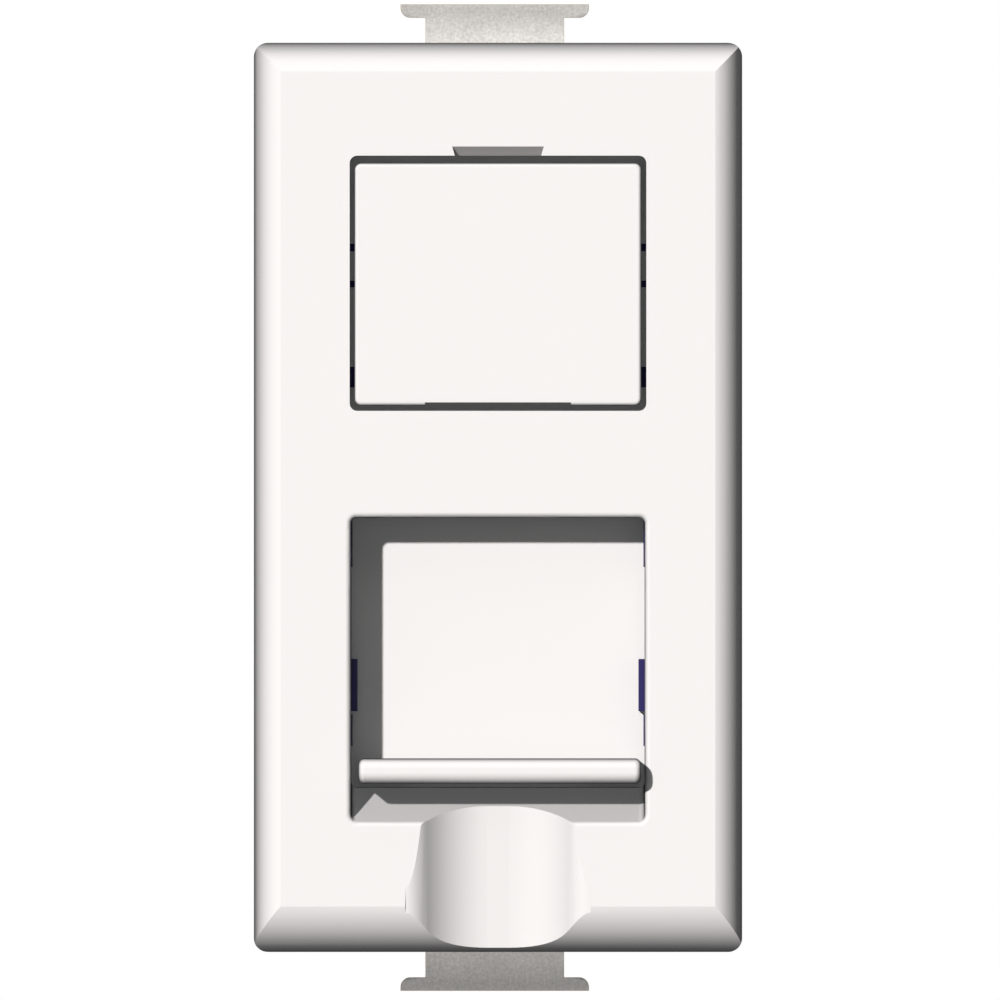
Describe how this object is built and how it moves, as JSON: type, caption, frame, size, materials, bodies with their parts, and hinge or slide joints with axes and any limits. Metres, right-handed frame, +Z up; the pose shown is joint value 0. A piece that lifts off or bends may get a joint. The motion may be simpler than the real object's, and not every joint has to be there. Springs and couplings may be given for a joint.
{
  "type": "ethernet socket module",
  "caption": "One-module flush data outlet with a sliding dust shutter, blank label cover, finger scoop, steel snap leaves and rear wire terminals.",
  "frame": {"origin": "centre of the seat plane, the back of the front cover's skirt", "axes": "+Z up along the module's height, -Y out of the front face, +X to the right seen from the front"},
  "size_m": [0.0224, 0.0304, 0.0456],
  "materials": {
    "white_plastic": "satin moulded",
    "blue_plastic": "fine matt moulded",
    "grey_plastic": "matt moulded",
    "dark_plastic": "matt moulded",
    "white_block": "matt moulded",
    "board_laminate": "solder-masked laminate",
    "spring_steel": "rolled sheet",
    "gold_contact": "plated",
    "tinned_blade": "tinned"
  },
  "bodies": {
    "housing": {"front_cover": "white_plastic", "inner_carrier": "blue_plastic", "rear_housing": "grey_plastic", "jack_housing": "dark_plastic", "contact_carrier": "dark_plastic", "circuit_board": "board_laminate", "termination_block": "white_block", "contact_1": "gold_contact", "contact_2": "gold_contact", "contact_3": "gold_contact", "contact_4": "gold_contact", "contact_5": "gold_contact", "contact_6": "gold_contact", "contact_7": "gold_contact", "contact_8": "gold_contact", "idc_blade_1": "tinned_blade", "idc_blade_2": "tinned_blade", "idc_blade_3": "tinned_blade", "idc_blade_4": "tinned_blade", "idc_blade_5": "tinned_blade", "idc_blade_6": "tinned_blade", "idc_blade_7": "tinned_blade", "idc_blade_8": "tinned_blade"},
    "shutter": {"shutter": "white_plastic"},
    "label_cover": {"label_cover": "white_plastic"},
    "wire_cap": {"wire_cap": "grey_plastic"},
    "clip_top": {"clip_top": "spring_steel"},
    "clip_bottom": {"clip_bottom": "spring_steel"}
  },
  "joints": [
    {"name": "shutter_slide", "type": "slide", "parent": "housing", "child": "shutter", "axis": [0, 0, 1], "range_m": [0, 0.0107]},
    {"name": "label_pull", "type": "slide", "parent": "housing", "child": "label_cover", "axis": [0, -1, 0], "range_m": [0, 0.006]},
    {"name": "cap_pull", "type": "slide", "parent": "housing", "child": "wire_cap", "axis": [0, 1, 0], "range_m": [0, 0.008]},
    {"name": "leaf_top_flex", "type": "hinge", "parent": "housing", "child": "clip_top", "pos_m": [0, 0.00115, 0.0178], "axis": [1, 0, 0], "range_deg": [-4, 0], "stiffness_Nm_per_rad": 0.05},
    {"name": "leaf_bottom_flex", "type": "hinge", "parent": "housing", "child": "clip_bottom", "pos_m": [0, 0.00115, -0.0178], "axis": [1, 0, 0], "range_deg": [0, 4], "stiffness_Nm_per_rad": 0.05}
  ]
}
